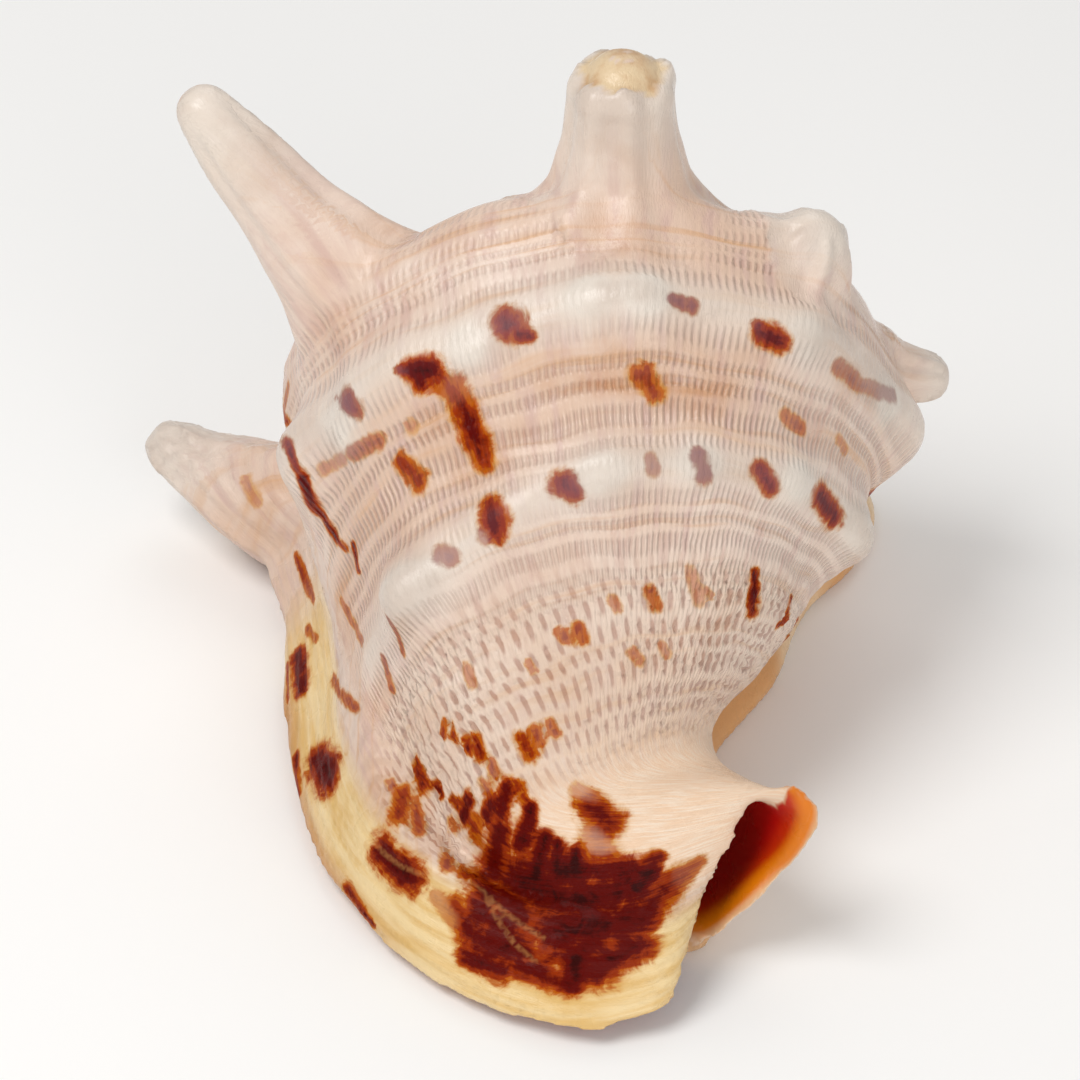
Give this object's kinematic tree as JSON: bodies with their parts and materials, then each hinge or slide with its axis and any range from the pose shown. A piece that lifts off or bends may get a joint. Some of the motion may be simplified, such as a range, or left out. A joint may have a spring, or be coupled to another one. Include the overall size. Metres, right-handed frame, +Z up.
{
  "type": "horned helmet conch shell",
  "caption": "Large spiral sea shell with long horns on its shoulder, a flared outer lip, a flat shield underneath and a recurved canal; it lies on its shield and lip.",
  "frame": {"origin": "on the ground, below the middle of the box round the shell as it lies on its shield and lip", "axes": "+Z up, away from the ground; +Y along the coiling axis, towards the spire; -X towards the outer lip, +X towards the free edge of the shield"},
  "size_m": [0.1646, 0.1804, 0.136],
  "materials": {
    "shell": "smooth glossy shell, cream and pinkish white with maroon and orange-brown blotches"
  },
  "bodies": {
    "root": {"shell": "shell"}
  },
  "joints": []
}
